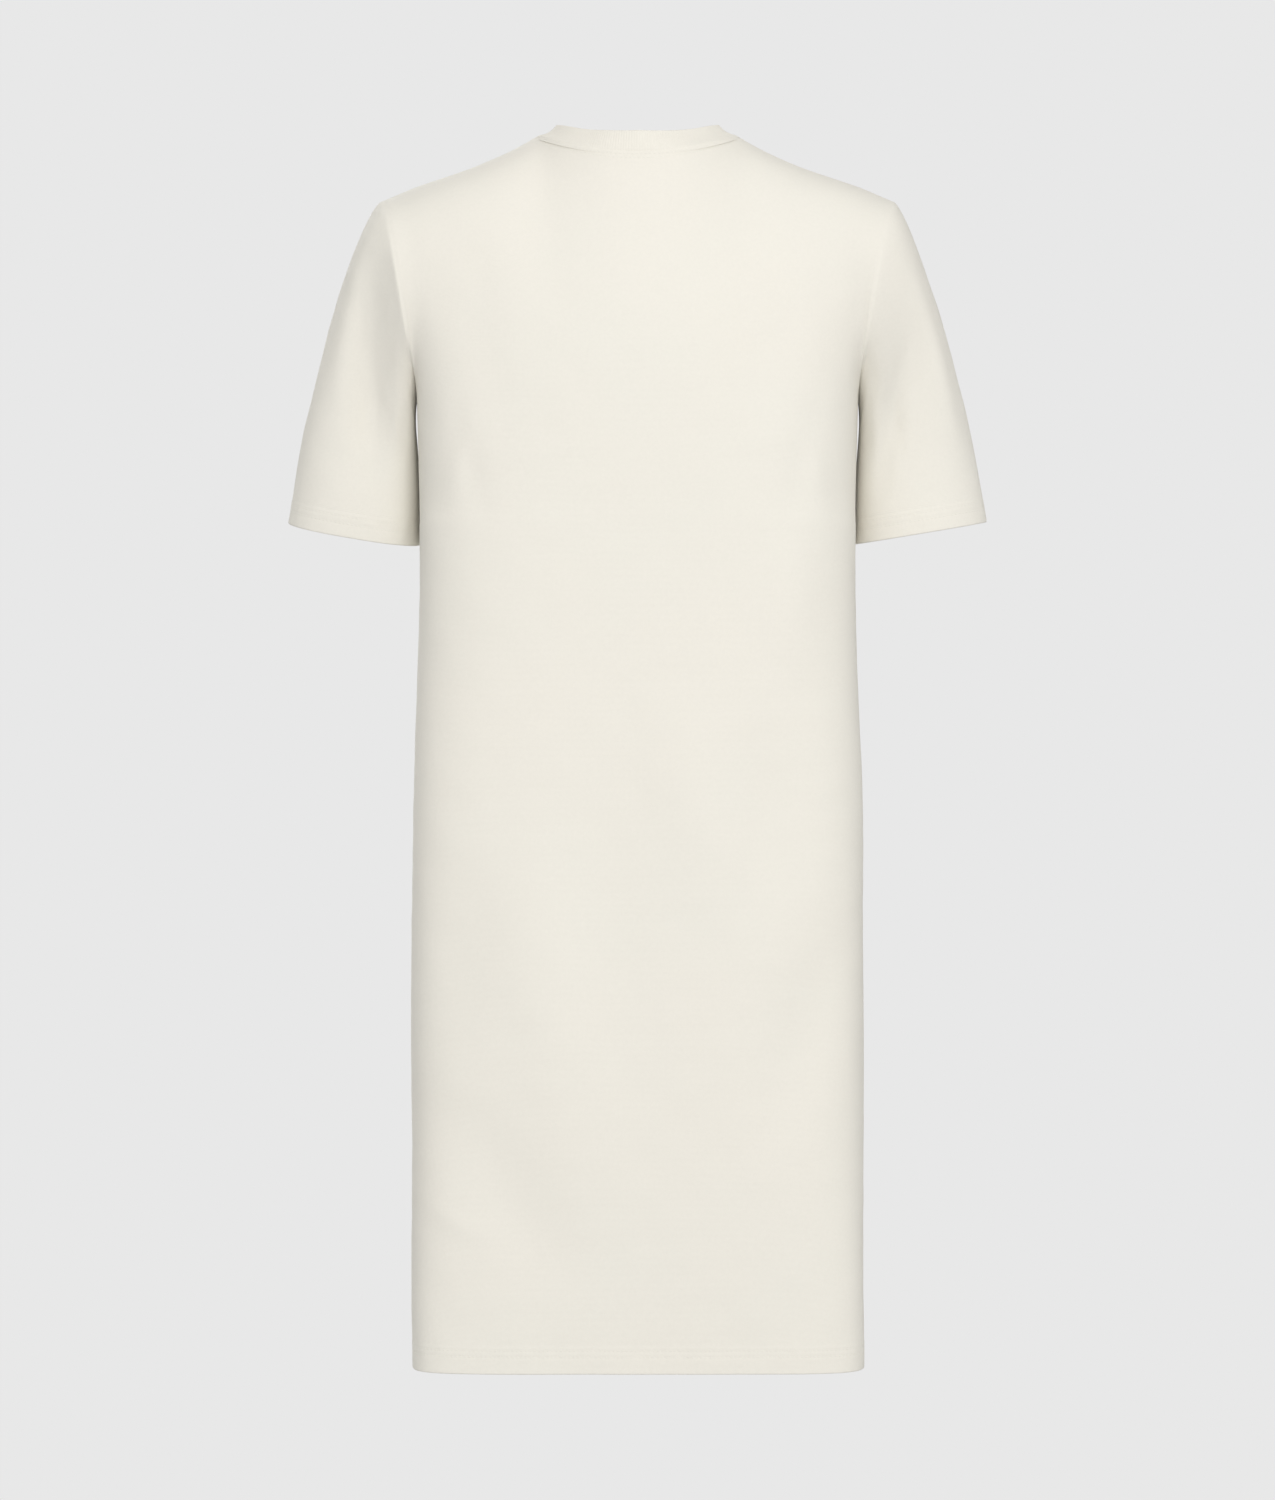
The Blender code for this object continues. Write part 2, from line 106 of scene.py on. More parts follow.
# How each column of cloth leaves the underarm's level and arrives at its top edge
BACK_COLUMNS = (
    # share, leave_x, leave_y, leave_z, arrive_x, arrive_y, arrive_z
    (0.00, 0.000, 0.002, 0.085, 0.000, 0.014, -0.062),
    (0.23, 0.000, 0.002, 0.085, 0.000, 0.026, -0.050),
    (0.36, 0.000, 0.002, 0.085, 0.000, 0.040, -0.030),
    (NECK_SHARE, 0.000, 0.002, 0.086, 0.002, 0.072, -0.001),
    (0.56, 0.000, 0.003, 0.088, 0.001, 0.080, -0.001),
    (0.72, 0.000, 0.006, 0.090, 0.000, 0.084, -0.001),
    (0.88, 0.000, 0.042, 0.062, -0.002, 0.088, -0.001),
    (0.96, 0.000, 0.066, 0.042, -0.004, 0.090, -0.001),
    (1.00, -0.002, 0.078, 0.034, -0.006, 0.088, -0.002),
)
FRONT_COLUMNS = (
    # share, leave_x, leave_y, leave_z, arrive_x, arrive_y, arrive_z
    (0.00, 0.000, 0.004, 0.050, 0.000, -0.014, -0.034),
    (0.23, 0.000, 0.004, 0.060, 0.000, -0.022, -0.036),
    (0.36, 0.000, 0.004, 0.072, 0.002, -0.040, -0.024),
    (NECK_SHARE, 0.000, 0.003, 0.082, 0.002, -0.052, -0.001),
    (0.56, 0.000, 0.002, 0.084, 0.001, -0.058, -0.001),
    (0.72, 0.000, 0.000, 0.085, 0.000, -0.062, -0.001),
    (0.88, 0.000, -0.032, 0.060, -0.004, -0.068, -0.001),
    (0.96, -0.002, -0.054, 0.042, -0.008, -0.070, -0.001),
    (1.00, -0.004, -0.064, 0.034, -0.010, -0.068, -0.002),
)
COLUMNS = {BACK: BACK_COLUMNS, FRONT: FRONT_COLUMNS}

# Soft folds: a ridge, or a trough where its height is negative, along a slanting line
BACK_FOLDS = (
    # across at its top, across at its end, top drop, end drop, half breadth, height
    (-0.030, -0.058, 0.430, 0.640, 0.030, 0.0045),
    (-0.122, -0.124, 0.300, 0.450, 0.022, 0.0035),
    (-0.100, -0.106, 0.460, 0.660, 0.024, -0.0040),
    (-0.160, -0.100, 0.600, 0.830, 0.030, -0.0050),
    (0.032, 0.016, 0.450, 0.800, 0.034, -0.0035),
    (0.085, 0.045, 0.540, 0.900, 0.036, 0.0040),
    (0.125, 0.150, 0.560, 0.760, 0.034, -0.0045),
    (0.150, 0.060, 0.740, 0.930, 0.036, -0.0045),
    (0.150, 0.110, 0.060, 0.260, 0.034, -0.0045),
    (-0.104, -0.098, 0.110, 0.250, 0.022, -0.0030),
    (0.000, 0.000, 0.030, 0.320, 0.060, 0.0030),
)
FRONT_FOLDS = (
    # across at its top, across at its end, top drop, end drop, half breadth, height
    (-0.085, -0.095, 0.300, 0.640, 0.028, 0.0045),
    (0.080, 0.100, 0.310, 0.700, 0.030, 0.0040),
    (0.000, -0.012, 0.330, 0.800, 0.036, -0.0045),
    (-0.140, -0.115, 0.560, 0.900, 0.032, -0.0045),
    (0.145, 0.125, 0.520, 0.860, 0.030, -0.0050),
    (0.045, 0.055, 0.620, 0.930, 0.030, 0.0040),
    (-0.055, -0.060, 0.660, 0.940, 0.026, -0.0030),
    (-0.150, -0.100, 0.130, 0.260, 0.030, -0.0045),
    (0.150, 0.105, 0.130, 0.270, 0.030, -0.0045),
    (0.000, 0.000, 0.130, 0.300, 0.030, -0.0030),
)
FOLDS = {BACK: BACK_FOLDS, FRONT: FRONT_FOLDS}
SIDE_FADE = 0.12  # the share of a panel's width, beside its seams, over which folds die away
TOP_FADE = 0.5  # and the share of its height above the underarm

# Sleeves hang from the armholes. The quarters run from the shoulder by the back to the
# underarm and by the front: which way the cloth leaves the seam, how far that way is felt,
# and how far up the sleeve the cuff's direction is felt.
SLEEVE_QUARTERS = {
    LEFT: (
        # out, back, up, seam reach, cuff reach
        (0.88, -0.06, -0.46, 0.014, 0.136),
        (0.62, -0.73, -0.25, 0.056, 0.070),
        (0.24, 0.00, -0.97, 0.020, 0.040),
        (0.78, -0.30, -0.55, 0.046, 0.070),
    ),
    RIGHT: (
        # out, back, up, seam reach, cuff reach
        (0.84, 0.00, -0.54, 0.012, 0.116),
        (0.84, -0.42, -0.34, 0.050, 0.075),
        (0.24, 0.00, -0.97, 0.020, 0.040),
        (0.70, -0.30, -0.60, 0.046, 0.070),
    ),
}
CUFF_OUT = 0.2280  # the cuff's centre from the body's middle
CUFF_DROP = 0.316
CUFF_BACK = {LEFT: -0.038, RIGHT: -0.030}
CUFF_TILT = math.radians(9.5)  # the sleeve leans out from the upright
CUFF_LEAN = {LEFT: math.radians(8), RIGHT: math.radians(3)}  # and towards the front
CUFF_HALF_WIDTH = 0.0545
CUFF_HALF_DEPTH = {LEFT: 0.0450, RIGHT: 0.0490}
CUFF_SQUARENESS = 2.4
SLEEVE_FOLDS = {
    LEFT: (
        # turn at its top, turn at its end, share down, end share, half breadth, height
        (0.16, 0.20, 0.10, 0.75, 0.045, 0.0030),
        (0.28, 0.27, 0.25, 0.95, 0.040, -0.0035),
        (0.70, 0.76, 0.05, 0.80, 0.050, -0.0035),
    ),
    RIGHT: (
        # turn at its top, turn at its end, share down, end share, half breadth, height
        (0.17, 0.14, 0.15, 0.85, 0.045, 0.0030),
        (0.30, 0.33, 0.20, 0.90, 0.040, -0.0030),
        (0.72, 0.76, 0.05, 0.80, 0.050, -0.0035),
    ),
}

# The neckband leans in over the neck, most at the sides
BAND_SHAPE = (
    # turn from the centre back, share of its height that leans in, share that rises, swell
    (0.00, 0.26, 0.966, 0.0006),
    (0.25, 0.86, 0.510, -0.0020),
    (0.50, 0.55, 0.835, 0.0006),
)


# How finely the cloth is divided
NECK_STEPS = 42
SHOULDER_STEPS = 52
CHEST_STEPS = 56
SLEEVE_ROWS = 62
SKIRT_STEP = 0.0046
ARC_STEPS = 600
EASE_SPREAD = 0.020
EDGE_PLACES = np.array([0.0, 0.2, 0.45, 0.8, 1.3])  # rows and columns beside a seam
HEM_HEIGHTS = np.array(
    [0.95, 1.8, 3.0, 4.5, 6.2, 8.0, 9.6, 10.4, 11.4, 12.6, 13.5, 14.4, 15.4, 16.4, 17.5]
    + [18.5, 19.4, 20.2, 21.4, 23.0, 25.2, 28.2, 32.0]
) / 1000

# The finer folds that only the scene has
FINE_FOLDS = {
    BACK: (
        # across at its top, across at its end, top drop, end drop, half breadth, height
        (-0.078, -0.080, 0.530, 0.600, 0.007, 0.0008),
        (0.150, 0.118, 0.200, 0.330, 0.012, -0.0014),
        (-0.150, -0.112, 0.190, 0.340, 0.013, -0.0014),
        (0.128, 0.152, 0.215, 0.300, 0.010, 0.0012),
        (-0.132, -0.156, 0.225, 0.320, 0.010, 0.0012),
        (0.170, 0.120, 0.840, 0.880, 0.014, 0.0010),
    ),
    FRONT: (
        # across at its top, across at its end, top drop, end drop, half breadth, height
        (-0.150, -0.105, 0.190, 0.340, 0.013, -0.0015),
        (0.152, 0.110, 0.195, 0.330, 0.012, -0.0014),
        (-0.120, -0.150, 0.205, 0.300, 0.010, 0.0012),
        (0.126, 0.154, 0.210, 0.310, 0.011, 0.0012),
        (0.030, 0.060, 0.700, 0.790, 0.009, 0.0008),
    ),
}
FINE_SLEEVE_FOLDS = {
    LEFT: (
        # turn at its top, turn at its end, share down, end share, half breadth, height
        (0.30, 0.24, 0.30, 0.72, 0.020, -0.0012),
        (0.40, 0.34, 0.15, 0.60, 0.022, 0.0014),
        (0.62, 0.68, 0.15, 0.62, 0.022, 0.0014),
        (0.84, 0.80, 0.30, 0.90, 0.024, -0.0012),
    ),
    RIGHT: (
        # turn at its top, turn at its end, share down, end share, half breadth, height
        (0.32, 0.26, 0.35, 0.80, 0.020, -0.0012),
        (0.40, 0.36, 0.15, 0.62, 0.022, 0.0014),
        (0.61, 0.67, 0.15, 0.65, 0.022, 0.0014),
        (0.86, 0.82, 0.25, 0.85, 0.024, -0.0012),
    ),
}

# Cloth and sewing
RING_GAP = 0.0001  # the pieces meet here, where the solids stand a little apart
PANEL_GAP = 0.00005
CLOTH = 0.0008
TUCK = 0.0005  # how deep a seam lies
ALLOWANCE = 0.0045  # how far the cloth's edges stand in behind a seam
SEAM_ROLL = 0.0015  # how far from a seam the cloth rolls down into it
TURN = HEM_HEIGHTS[0]  # half the thickness of a turned hem
HEM_STITCHES = (0.0135, 0.0185)  # up from the edge
CUFF_STITCHES = (0.0104, 0.0154)
NECK_STITCHES = (0.0024, 0.0054)  # below the neckband
STITCH_LENGTH = 0.0027
STITCH_PITCH = 0.0034
THREAD = 0.00022
WAVE_FADE = 0.03  # the band's uneven height dies away this far from its join
WORLD_LIGHT = 0.60
KEY_LIGHT = 118
RIBS = 232
RIB_STEPS = 5
RIB_RISE = 0.00012


def smooth(share):
    share = np.clip(share, 0.0, 1.0)
    return share * share * (3 - 2 * share)


def read_table(table, column, place):
    """A column's value at a place in the table's first column, on a smooth curve."""
    rows = np.array(table, float)
    places, values = rows[:, 0], rows[:, column]
    slopes = np.gradient(values, places)
    i = np.clip(np.searchsorted(places, place) - 1, 0, len(places) - 2)
    span = places[i + 1] - places[i]
    t = (place - places[i]) / span
    before = (1 + 2 * t) * (1 - t) ** 2 * values[i] + t * (1 - t) ** 2 * span * slopes[i]
    after = t * t * (3 - 2 * t) * values[i + 1] - t * t * (1 - t) * span * slopes[i + 1]
    return before + after


def bezier(start, leave, arrive, end, t):
    return (
        (1 - t) ** 3 * start
        + 3 * (1 - t) ** 2 * t * leave
        + 3 * (1 - t) * t * t * arrive
        + t**3 * end
    )


def quarter_oval(half_width, depth, squareness, shares):
    """Points from the centre line to the side, by their share of the way along."""
    angle = np.linspace(0, math.pi / 2, ARC_STEPS)
    x = half_width * np.sin(angle) ** (2 / squareness)
    y = depth * np.cos(angle) ** (2 / squareness)
    length = np.append(0, np.cumsum(np.hypot(np.diff(x), np.diff(y))))
    at = np.asarray(shares) * length[-1]
    return np.interp(at, length, x), np.interp(at, length, y), length[-1]


def body_section(side, drop, shares):
    width = read_table(BODY, WIDTH, drop)
    depth = read_table(BODY, DEPTH[side], drop)
    squareness = read_table(BODY, SQUARENESS[side], drop)
    x, y, length = quarter_oval(width, depth, squareness, shares)
    return np.stack([x, side * y, np.full(len(x), -drop)], axis=-1), length


def neckline(side, share):
    """A point of the neckline, from the centre (0) to the top of the shoulder seam (1)."""
    angle = share * math.pi / 2
    fall = NECK_FALL[side] * math.cos(angle) ** NECK_FALL_POWER[side]
    y = side * NECK_DEPTH[side] * math.cos(angle)
    return np.array([NECK_HALF * math.sin(angle), y, -fall])


def shoulder_seam(share):
    x = NECK_HALF + (SHOULDER_HALF - NECK_HALF) * share
    sag = read_table(SHOULDER_LINE, 1, share)
    return np.array([x, 0.0, -SHOULDER_FALL * share - sag])


def top_edge(side, share):
    if share <= NECK_SHARE:
        return neckline(side, share / NECK_SHARE)
    return shoulder_seam((share - NECK_SHARE) / (1 - NECK_SHARE))


def fold_height(folds, across, along):
    """How far the cloth stands out at a place, from all the folds in a table."""
    height = np.zeros_like(across)
    for start, end, top, bottom, breadth, rise in folds:
        share = (along - top) / (bottom - top)
        inside = (share > 0) & (share < 1)
        middle = start + (end - start) * share
        swell = np.sin(math.pi * np.clip(share, 0, 1)) ** 1.5
        height += inside * rise * swell * np.exp(-(((across - middle) / breadth) ** 2))
    return height


def outward(grid, closed):
    """Unit normals of a grid of points, on the side that the rows and columns face."""
    down = np.gradient(grid, axis=0)
    if closed:
        wide = (np.roll(grid, -1, axis=1) - np.roll(grid, 1, axis=1)) / 2
    else:
        wide = np.gradient(grid, axis=1)
    normal = np.cross(wide, down)
    return normal / np.linalg.norm(normal, axis=-1, keepdims=True)


def sleeve_turns():
    """The turn of each point round the armhole, from the shoulder by the back (0 to 1)."""
    climbs = np.concatenate([[0.0], climb_shares()])
    back = [(BACK, c, (1 - c) / 2) for c in climbs[::-1]]
    front = [(FRONT, c, (1 + c) / 2) for c in climbs[1:-1]]
    return back + front


def armhole_point(side, share, climb):
    chest = body_section(side, UNDERARM_DROP, [share])[0][0]
    return column_point(side, share, chest, climb)


def way_out(side, climb):
    """The way a panel's cloth points where it reaches the armhole, square to the seam."""
    step = 0.02
    edge = armhole_point(side, 1.0, climb)
    along = armhole_point(side, 1.0, min(climb + step, 1.0))
    along = along - armhole_point(side, 1.0, max(climb - step, 0.0))
    along /= np.linalg.norm(along)
    way = edge - armhole_point(side, 1.0 - step, climb)
    way -= along * (way @ along)
    way /= np.linalg.norm(way)
    if climb in (0.0, 1.0):
        way[1] = 0.0
        way /= np.linalg.norm(way)
    return edge, way


def quarter_value(quarters, column, turn):
    """A value of the sleeve's table at a turn, eased from one quarter to the next."""
    place = turn * 4
    before = int(place) % 4
    ease = smooth(place - int(place))
    return quarters[before][column] * (1 - ease) + quarters[(before + 1) % 4][column] * ease


def cuff_frame(hand):
    """The cuff's centre, its directions outwards and backwards, and the way up the sleeve."""
    up = np.array([-math.sin(CUFF_TILT), math.sin(CUFF_LEAN[hand]), math.cos(CUFF_TILT)])
    up /= np.linalg.norm(up)
    out = np.cross(np.array([0.0, 1.0, 0.0]), up)
    out /= np.linalg.norm(out)
    back = np.cross(up, out)
    return np.array([CUFF_OUT, CUFF_BACK[hand], -CUFF_DROP]), out, back, up


def squared(value):
    """A sine or cosine for an oval that is a little squarer than an ellipse."""
    return math.copysign(abs(value) ** (2 / CUFF_SQUARENESS), value)


def sleeve_grid(hand):
    """The outer points of a sleeve on the +X side, rows from the armhole to the cuff."""
    centre, out, back, up = cuff_frame(hand)
    upright = np.array([0.0, up[1], 1.0])
    shares = np.linspace(0, 1, SLEEVE_ROWS + 1)
    columns = []
    for side, climb, turn in sleeve_turns():
        seam, way = way_out(side, climb)
        values = [quarter_value(SLEEVE_QUARTERS[hand], k, turn) for k in range(5)]
        leave = np.array(values[:3]) / np.linalg.norm(values[:3])
        under = quarter_value(((0,), (0,), (1,), (0,)), 0, turn)
        rise = up * (1 - under) + upright * under
        start = seam + way * RING_GAP
        strip = start + way * SLEEVE_STRIP
        angle = turn * 2 * math.pi
        edge = centre + out * CUFF_HALF_WIDTH * squared(math.cos(angle))
        edge = edge + back * CUFF_HALF_DEPTH[hand] * squared(math.sin(angle))
        band = edge + rise * CUFF_BAND
        tube = [
            bezier(strip, strip + leave * values[3], band + rise * values[4], band, t)
            for t in shares
        ]
        tube.insert(-1, tube[-1] + rise * TURN_STEP)
        columns.append([start] + tube + [edge])
    return np.array(columns).transpose(1, 0, 2)


def add_sleeve_folds(hand, grid):
    turns = np.array([turn for _, _, turn in sleeve_turns()])
    across = np.broadcast_to(turns[None, :], grid.shape[:2])
    steps = np.linalg.norm(np.diff(grid, axis=0), axis=-1)
    along = np.concatenate([np.zeros((1, grid.shape[1])), np.cumsum(steps, axis=0)])
    along /= along[-1]
    height = fold_height(SLEEVE_FOLDS[hand], across, along)
    return grid + outward(grid[::-1], True)[::-1] * height[:, :, None]


def climb_shares():
    return np.linspace(0, 1, CHEST_STEPS + 1)[1:]


def column_lines(side, shares, climbs, chest):
    """Columns of cloth from the underarm's level to the top edge: rows by columns by xyz."""
    handles = [read_table(COLUMNS[side], k, shares) for k in range(1, 7)]
    leave = chest + np.stack(handles[:3], axis=-1)
    top = np.array([top_edge(side, share) for share in shares])
    arrive = top + np.stack(handles[3:], axis=-1)
    t = np.asarray(climbs)[:, None, None]
    return bezier(chest[None], leave[None], arrive[None], top[None], t)


def column_point(side, share, chest, climb):
    return column_lines(side, np.array([share]), [climb], chest[None])[0, 0]


def unit(vectors):
    return vectors / np.linalg.norm(vectors, axis=-1, keepdims=True)


def between(grid, places, axis=0):
    """A grid read between its rows or its columns, on smooth curves."""
    last = grid.shape[axis] - 1
    i = np.clip(places.astype(int), 0, last - 1)
    t = (places - i).reshape([-1 if k == axis else 1 for k in range(grid.ndim)])
    before, here, after, later = [
        np.take(grid, np.clip(i + k, 0, last), axis=axis) for k in (-1, 0, 1, 2)
    ]
    bend = 2 * before - 5 * here + 4 * after - later
    twist = 3 * here - before - 3 * after + later
    return here + ((after - before) * t + bend * t * t + twist * t**3) / 2


def eased(grid, low, across, along):
    """Ease the points above a row, leaving the edges of the panel as they are."""
    grid = grid.copy()
    wide = 0.4
    high = wide * (across / along) ** 2
    for _ in range(int((EASE_SPREAD / across) ** 2 / wide)):
        middle = grid[low:-1, 1:-1]
        side = (grid[low:-1, :-2] + grid[low:-1, 2:]) / 2 - middle
        rise = (grid[low - 1 : -2, 1:-1] + grid[low + 1 :, 1:-1]) / 2 - middle
        grid[low:-1, 1:-1] += side * wide + rise * high
    return grid


def ripple(across, along, size, seed):
    """A soft uneven surface, about -1 to 1, with waves of about one size."""
    rng = np.random.default_rng(seed)
    height = np.zeros(np.broadcast(across, along).shape)
    for _ in range(9):
        angle, phase = rng.uniform(0, 2 * math.pi, 2)
        length = size * rng.uniform(0.7, 1.5)
        place = across * math.cos(angle) + along * math.sin(angle)
        height += np.sin(2 * math.pi * place / length + phase)
    return height / 3


def panel_surface(side):
    """The outer face of a panel above its hem's fold, and where each point lies on the cloth."""
    neck = np.linspace(0, NECK_SHARE, NECK_STEPS + 1)
    shares = np.concatenate([neck, np.linspace(NECK_SHARE, 1, SHOULDER_STEPS + 1)[1:]])
    fine = HEM_DROP - HEM_HEIGHTS
    count = int((fine[-1] - UNDERARM_DROP) / SKIRT_STEP)
    drops = np.concatenate([fine[:-1], np.linspace(fine[-1], UNDERARM_DROP, count)])
    sections = [body_section(side, drop, shares) for drop in drops]
    skirt = np.array([row for row, _ in sections])
    lengths = np.array([length for _, length in sections])
    climbs = climb_shares()
    half = np.concatenate([skirt, column_lines(side, shares, climbs, skirt[-1])])
    lengths = np.append(lengths, np.full(len(climbs), lengths[-1]))
    climbs = np.append(np.zeros(len(drops)), climbs)
    grid = np.concatenate([half[:, :0:-1] * np.array([-1, 1, 1]), half], axis=1)
    grid = eased(grid, len(drops) - int(0.1 / SKIRT_STEP), lengths[-1] / len(shares), SKIRT_STEP)
    signed = np.concatenate([-shares[:0:-1], shares])
    if side == BACK:
        grid, signed = grid[:, ::-1], signed[::-1]

    rows = np.concatenate([np.arange(len(grid) - 2), len(grid) - 1 - EDGE_PLACES[::-1]])
    last = len(signed) - 1
    columns = np.concatenate([EDGE_PLACES, np.arange(2, last - 1), last - EDGE_PLACES[::-1]])
    grid = between(between(grid, rows), columns, 1)
    lengths, climbs = between(lengths, rows), np.clip(between(climbs, rows), 0, 1)
    signed = between(signed, columns)
    return grid, signed, lengths, climbs


def dress_panel(side):
    """A panel's outer face with its folds, and its rows' heights above the hem."""
    grid, signed, lengths, climbs = panel_surface(side)
    grid[:, :, 1] += side * PANEL_GAP
    across = signed[None, :] * lengths[:, None]
    along = -grid[:, :, 2]
    to_side = smooth((1 - np.abs(signed)) / SIDE_FADE)[None, :]
    to_top = smooth((1 - climbs) / TOP_FADE)[:, None]
    height = fold_height(FOLDS[side], across, along) * to_side * to_top
    height += fold_height(FINE_FOLDS[side], across, along) * to_side * smooth((1 - climbs) / 0.15)[:, None]
    from_side = (1 - np.abs(signed))[None, :] * lengths[:, None]
    from_top = (1 - climbs)[:, None] * CHEST_LENGTH
    edge = np.minimum(from_side, from_top)
    height += 0.00035 * ripple(across, along, 0.11, 3 + side) * smooth(edge / 0.03)
    height += 0.00012 * ripple(across, along, 0.035, 5 + side) * smooth(edge / 0.012)
    up = HEM_DROP - along
    height += hem_relief(up, HEM_STITCHES, across, 11 + side) * smooth(from_side / 0.012)
    height -= 0.0003 * np.exp(-((edge / SEAM_ROLL) ** 2))
    normals = outward(grid, False)
    return grid + normals * height[:, :, None], across, along


def hem_relief(up, rows, across, seed):
    """How the face of a turned hem lies: grooves at its stitches, and puckers beside them."""
    relief = np.zeros_like(up)
    for row in rows:
        relief -= 0.00018 * np.exp(-(((up - row) / 0.0011) ** 2))
    middle = (rows[0] + rows[1]) / 2
    puckers = ripple(across, up * 0.3, 0.011, seed) * np.exp(-(((up - middle) / 0.007) ** 2))
    waves = ripple(across, up * 0.2, 0.075, seed + 1) * np.exp(-((up / 0.045) ** 2))
    step = 0.00022 * smooth((rows[1] + 0.0035 - up) / 0.002)
    return relief + 0.00016 * puckers + 0.0008 * waves + step


def turned_up(face, band):
    """Add the fold and the inner layer of a turned hem before the first row."""
    normals = outward(face, False)
    up = unit(face[1] - face[0])
    inner = face[:band][::-1] - normals[:band][::-1] * 2 * TURN
    arc = []
    for turn in np.linspace(math.pi, 0, 7)[1:-1]:
        inwards = normals[0] * TURN * (1 - math.cos(turn))
        arc.append(face[0] - inwards - up * TURN * math.sin(turn))
    return np.concatenate([inner, np.array(arc), face]), band + len(arc)


def turned_in(face, normals, gap, tuck, depth):
    """Add two rows past the last one, where the cloth turns in behind its seam."""
    way = unit(face[-1] - face[-2])
    crease = face[-1] + way * gap * 0.6 - normals[-1] * tuck[:, None]
    edge = face[-1] + way * gap - normals[-1] * depth[:, None]
    more = [normals[-1], normals[-1]]
    return np.concatenate([face, [crease, edge]]), np.concatenate([normals, more])


def sewn(face, turned, gap, top):
    """Turn a panel in at its side seams, and at its top edge, leaving its turned hem flat."""
    normals = outward(face, False)
    rows = np.arange(len(face))
    seam = smooth((rows - turned - 22) / 4)
    tuck, depth = TUCK * np.maximum(seam, 0.1), np.maximum(ALLOWANCE * seam, 0.00004)
    tuck[:turned], depth[:turned] = 0, 0
    for flip in (1, -1):
        side, facing = [g.transpose(1, 0, 2)[::flip] for g in (face, normals)]
        side, facing = turned_in(side, facing, gap, tuck, depth)
        face, normals = [g[::flip].transpose(1, 0, 2) for g in (side, facing)]
    if top:
        full = np.full(face.shape[1], 1.0)
        face, normals = turned_in(face, normals, gap, full * TUCK, full * ALLOWANCE)
    return face


def cloth_wall(name, face, material, thickness=CLOTH):
    """A thin closed wall behind a grid of points on the cloth's outer face."""
    rows, count = face.shape[:2]
    inner = face - outward(face, False) * thickness
    points = np.concatenate([face.reshape(-1, 3), inner.reshape(-1, 3)])
    r, c = np.meshgrid(np.arange(rows - 1), np.arange(count - 1), indexing="ij")
    at = r * count + c
    outer = np.stack([at, at + 1, at + count + 1, at + count], -1).reshape(-1, 4)
    faces = [outer, outer[:, ::-1] + rows * count]
    for row, order in ((0, 1), (rows - 1, -1)):
        faces.append(rim(row * count + np.arange(count), rows * count, order))
    for column, order in ((0, -1), (count - 1, 1)):
        faces.append(rim(np.arange(rows) * count + column, rows * count, order))
    flat = laid_flat(face)
    flat = np.concatenate([flat, flat])
    quads = np.concatenate(faces)
    return mesh_piece(name, points, quads, material, flat[quads])


def rim(edge, shift, order):
    quads = np.stack([edge[:-1], edge[:-1] + shift, edge[1:] + shift, edge[1:]], -1)
    return quads[:, ::order]


def mesh_piece(name, points, quads, material, places):
    """A mesh of quads, with each corner's place on the flat cloth."""
    mesh = bpy.data.meshes.new(name)
    mesh.from_pydata(points.tolist(), [], quads.tolist())
    mesh.materials.append(material)
    layer = mesh.uv_layers.new(name="cloth")
    layer.data.foreach_set("uv", places.ravel())
    mesh.shade_smooth()
    mesh.set_sharp_from_angle(angle=math.radians(70))
    piece = bpy.data.objects.new(name, mesh)
    bpy.context.scene.collection.objects.link(piece)
    return piece


def laid_flat(face):
    """Each point's place on the flat cloth, in metres, for the knit to follow."""
    across = np.linalg.norm(np.diff(face, axis=1), axis=-1)
    along = np.linalg.norm(np.diff(face, axis=0), axis=-1)
    middle = face.shape[1] // 2
    u = np.concatenate([np.zeros((face.shape[0], 1)), np.cumsum(across, axis=1)], axis=1)
    u -= u[:, middle : middle + 1]
    v = np.append(0, np.cumsum(along[:, middle]))
    return np.stack([u, np.broadcast_to(v[:, None], u.shape)], -1).reshape(-1, 2)


def sleeve_surface(hand):
    """A sleeve's outer face on the +X side, from its cuff to the armhole, opened at its seam."""
    rough = sleeve_grid(hand)
    turns = np.array([turn for _, _, turn in sleeve_turns()])
    start = int(np.argmin(np.abs(turns - 0.5)))
    order = np.append(np.arange(start, len(turns)), np.arange(0, start + 1))
    rough = np.delete(rough[::-1][:, order], 1, axis=0)
    turns = np.append(turns[start:], turns[: start + 1] + 1)
    last = len(turns) - 1
    columns = np.concatenate([EDGE_PLACES, np.arange(2, last - 1), last - EDGE_PLACES[::-1]])
    rough, turns = between(rough, columns, 1), between(turns, columns)
    face, lengths = [], []
    shares = np.linspace(0, 1, SLEEVE_ROWS)[1:-1]
    for c in range(rough.shape[1]):
        line = rough[:, c]
        place = np.append(0, np.cumsum(np.linalg.norm(np.diff(line, axis=0), axis=-1)))
        top = place[-1]
        rest = HEM_HEIGHTS[-1] + (top - HEM_HEIGHTS[-1]) * shares
        near = top - EDGE_PLACES[::-1] * 0.002
        wanted = np.concatenate([HEM_HEIGHTS, rest, near])
        face.append(between(line, np.interp(wanted, place, np.arange(len(place)))))
        lengths.append(wanted)
    return np.array(face).transpose(1, 0, 2), np.array(lengths).T, turns


